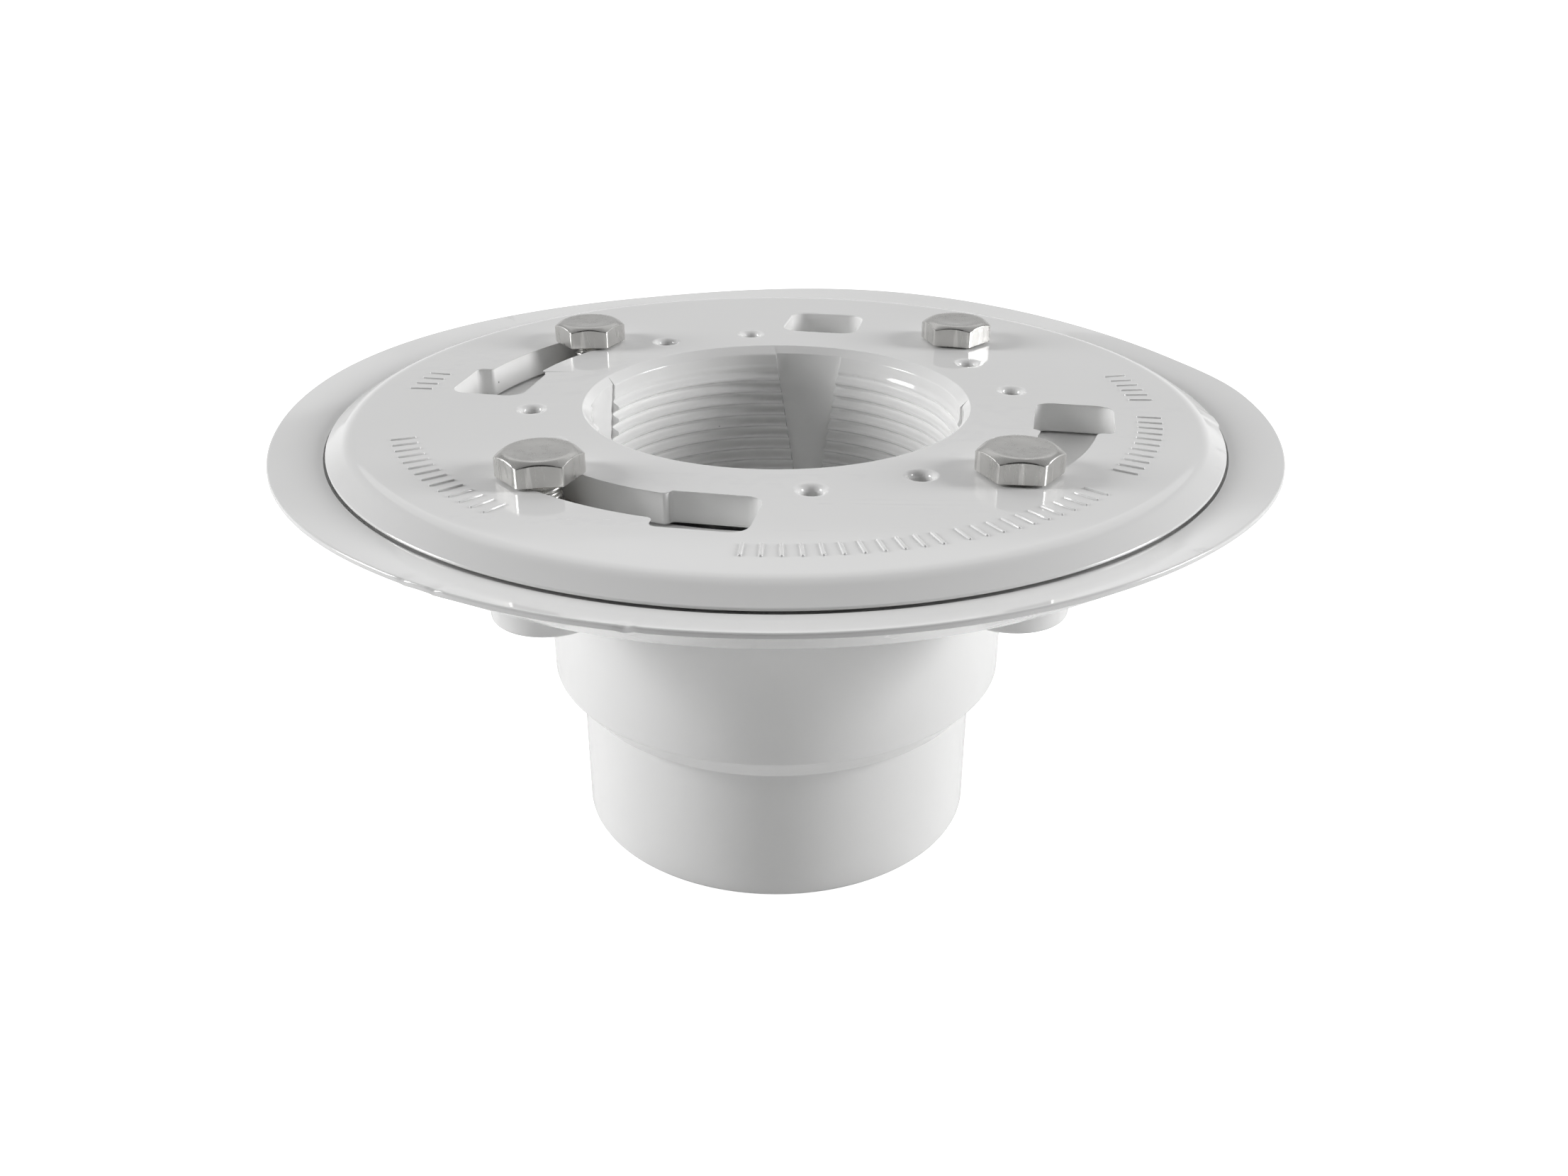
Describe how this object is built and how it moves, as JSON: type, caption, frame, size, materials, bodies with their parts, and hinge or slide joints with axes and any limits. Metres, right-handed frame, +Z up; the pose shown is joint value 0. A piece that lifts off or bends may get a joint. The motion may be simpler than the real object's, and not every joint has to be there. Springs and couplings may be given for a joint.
{
  "type": "shower drain base with clamping ring",
  "caption": "White plastic floor drain body: dished flange on a stepped pipe hub, clamping ring with keyhole slots and a threaded throat, held by hex bolts.",
  "frame": {"origin": "centre of the outlet hub's lower end, where the part stands", "axes": "+Z up the drain's axis towards the clamping ring; -Y towards the side between two wide keyhole openings that the viewer faces; +X to that viewer's right"},
  "size_m": [0.1586, 0.1586, 0.0781],
  "materials": {
    "white_plastic_base": "moulded rigid plastic, glossy",
    "white_plastic_ring": "moulded rigid plastic, glossy",
    "zinc_steel": "zinc plated steel, drawn flats",
    "brass": "turned brass"
  },
  "bodies": {
    "base": {"drain_base": "white_plastic_base", "insert_back_right": "brass", "insert_back_left": "brass", "insert_front_left": "brass", "insert_front_right": "brass"},
    "clamping_ring": {"clamping_ring": "white_plastic_ring"},
    "bolt_back_right": {"bolt_back_right": "zinc_steel"},
    "bolt_back_left": {"bolt_back_left": "zinc_steel"},
    "bolt_front_left": {"bolt_front_left": "zinc_steel"},
    "bolt_front_right": {"bolt_front_right": "zinc_steel"}
  },
  "joints": [
    {"name": "ring_lift", "type": "slide", "parent": "base", "child": "clamping_ring", "axis": [0, 0, 1], "range_m": [0, 0.04]},
    {"name": "bolt_back_right_lift", "type": "slide", "parent": "clamping_ring", "child": "bolt_back_right", "axis": [0, 0, 1], "range_m": [0, 0.022]},
    {"name": "bolt_back_left_lift", "type": "slide", "parent": "clamping_ring", "child": "bolt_back_left", "axis": [0, 0, 1], "range_m": [0, 0.022]},
    {"name": "bolt_front_left_lift", "type": "slide", "parent": "clamping_ring", "child": "bolt_front_left", "axis": [0, 0, 1], "range_m": [0, 0.022]},
    {"name": "bolt_front_right_lift", "type": "slide", "parent": "clamping_ring", "child": "bolt_front_right", "axis": [0, 0, 1], "range_m": [0, 0.022]}
  ]
}
